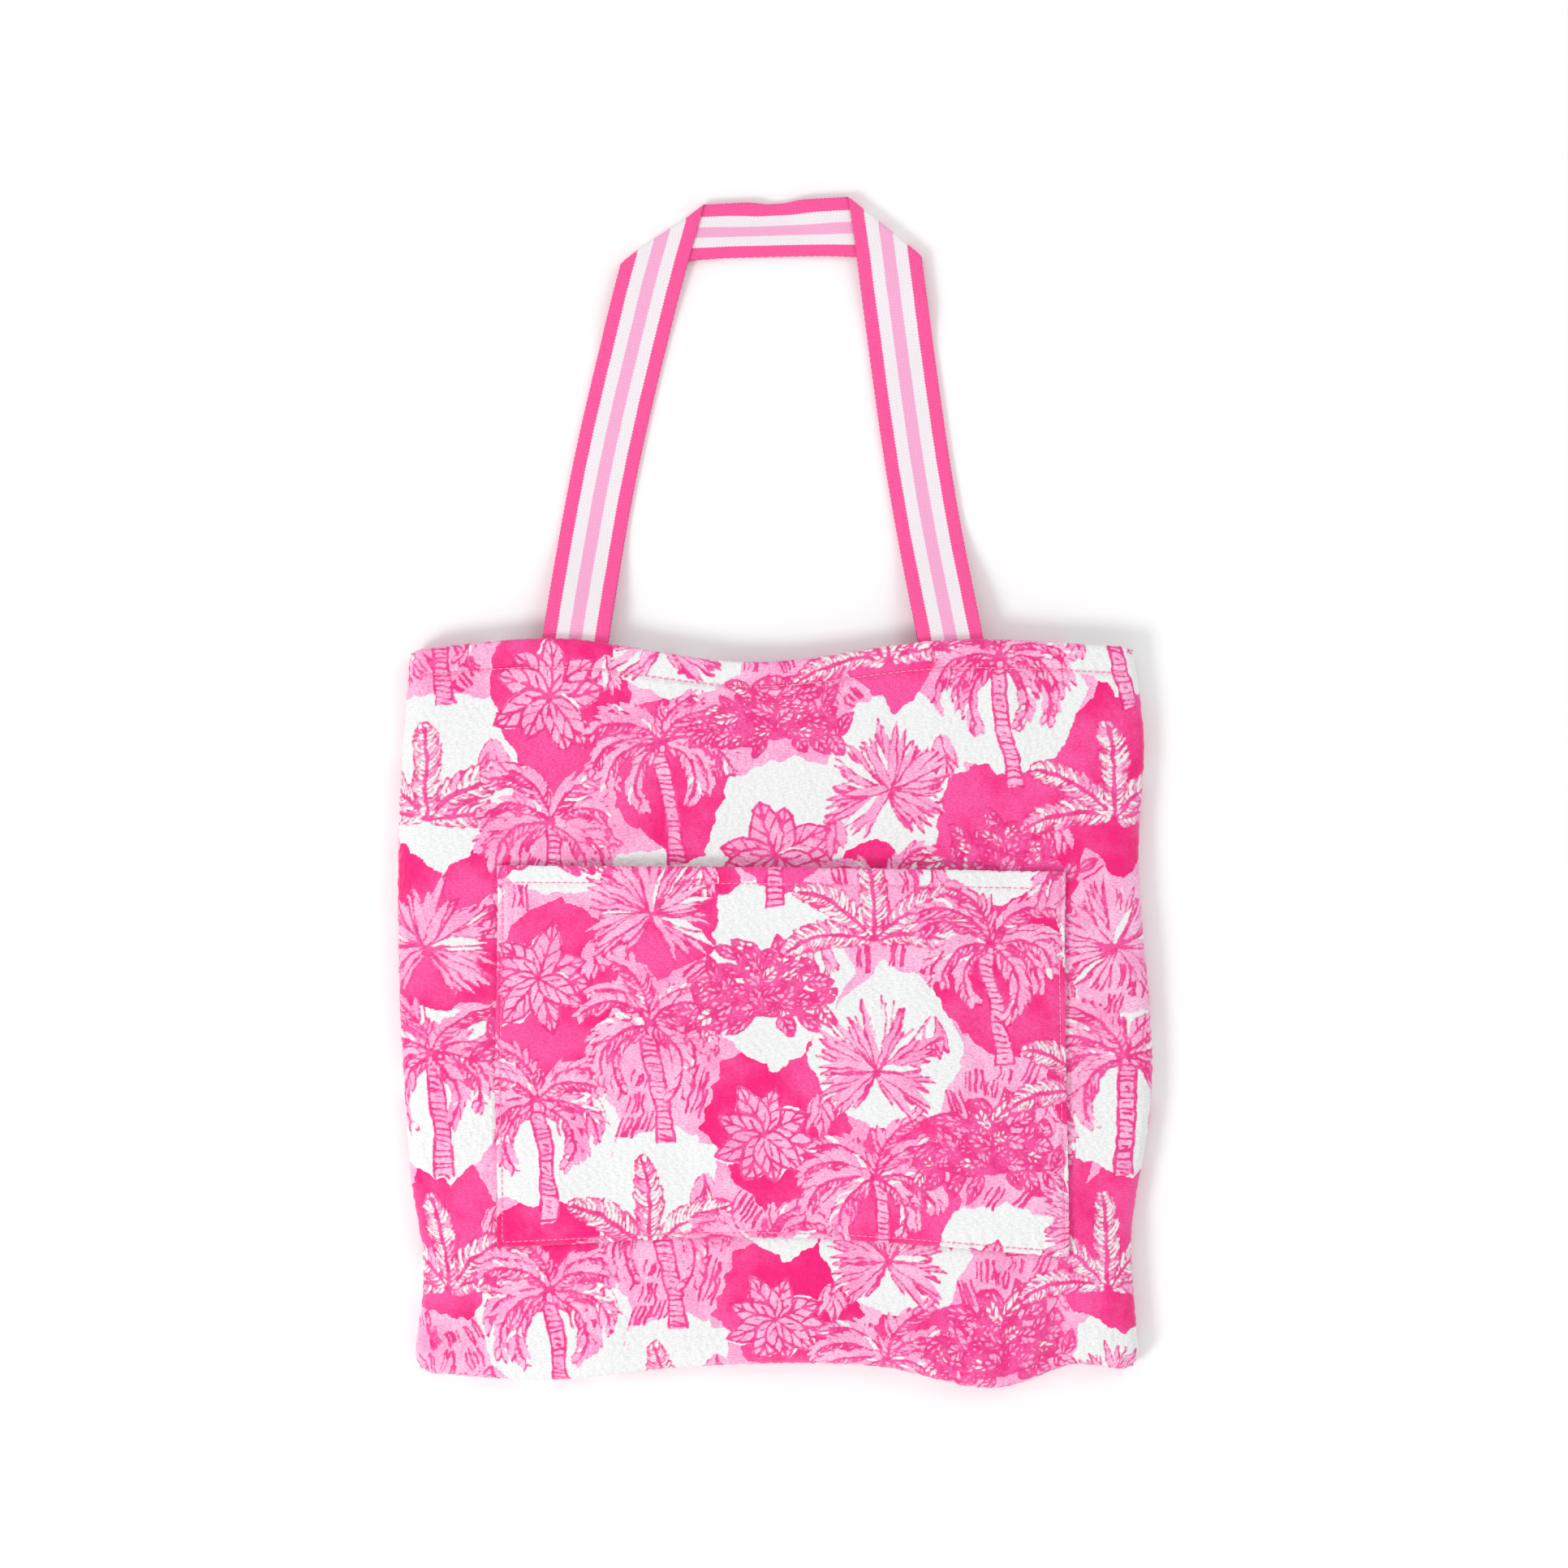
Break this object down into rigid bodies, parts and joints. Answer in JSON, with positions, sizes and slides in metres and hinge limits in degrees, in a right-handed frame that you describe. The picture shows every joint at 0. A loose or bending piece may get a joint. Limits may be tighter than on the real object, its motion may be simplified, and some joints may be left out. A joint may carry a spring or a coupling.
{
  "type": "beach bag",
  "caption": "Flat terry beach tote lying on its back, with a wide patch pocket and two folded webbing handles; mouth, pocket and handles move.",
  "frame": {"origin": "middle of the back panel's outer face, on the surface the bag lies on", "axes": "+Y from the bottom fold to the mouth and handles, +Z out of the front panel, +X to the right as the front is looked at"},
  "size_m": [0.438, 0.69, 0.0331],
  "materials": {
    "printed_terry": "velour terry with a pink garden print",
    "pocket_terry": "velour terry with a pink garden print",
    "webbing": "twill webbing in five pink and white stripes",
    "thread": "polyester sewing thread"
  },
  "bodies": {
    "back": {"back_panel": "printed_terry", "left_side_seam": "printed_terry", "right_side_seam": "printed_terry", "bottom_seam": "printed_terry", "left_side_seam_thread": "thread", "right_side_seam_thread": "thread", "bottom_seam_thread": "thread", "back_hem_thread": "thread", "back_handle_left_end": "webbing", "back_handle_right_end": "webbing", "back_handle_left_tack": "thread", "back_handle_right_tack": "thread"},
    "front": {"front_panel": "printed_terry", "front_hem_thread": "thread", "front_handle_left_end": "webbing", "front_handle_right_end": "webbing", "front_handle_left_tack": "thread", "front_handle_right_tack": "thread"},
    "pocket": {"pocket_panel": "pocket_terry", "pocket_hem_thread": "thread", "pocket_seam_thread": "thread"},
    "front_strap": {"front_handle": "webbing"},
    "back_strap": {"back_handle": "webbing"}
  },
  "joints": [
    {"name": "mouth_open", "type": "hinge", "parent": "back", "child": "front", "pos_m": [0, -0.2143, 0.00825], "axis": [1, 0, 0], "range_deg": [0, 12]},
    {"name": "pocket_open", "type": "hinge", "parent": "front", "child": "pocket", "pos_m": [0, -0.1393, 0.02135], "axis": [1, 0, 0], "range_deg": [0, 8]},
    {"name": "front_handle_swing", "type": "hinge", "parent": "front", "child": "front_strap", "pos_m": [0, 0.21415, 0.0186], "axis": [1, 0, 0], "range_deg": [0, 160]},
    {"name": "back_handle_swing", "type": "hinge", "parent": "back", "child": "back_strap", "pos_m": [0, 0.21415, 0.0026], "axis": [1, 0, 0], "range_deg": [-160, 0]}
  ]
}
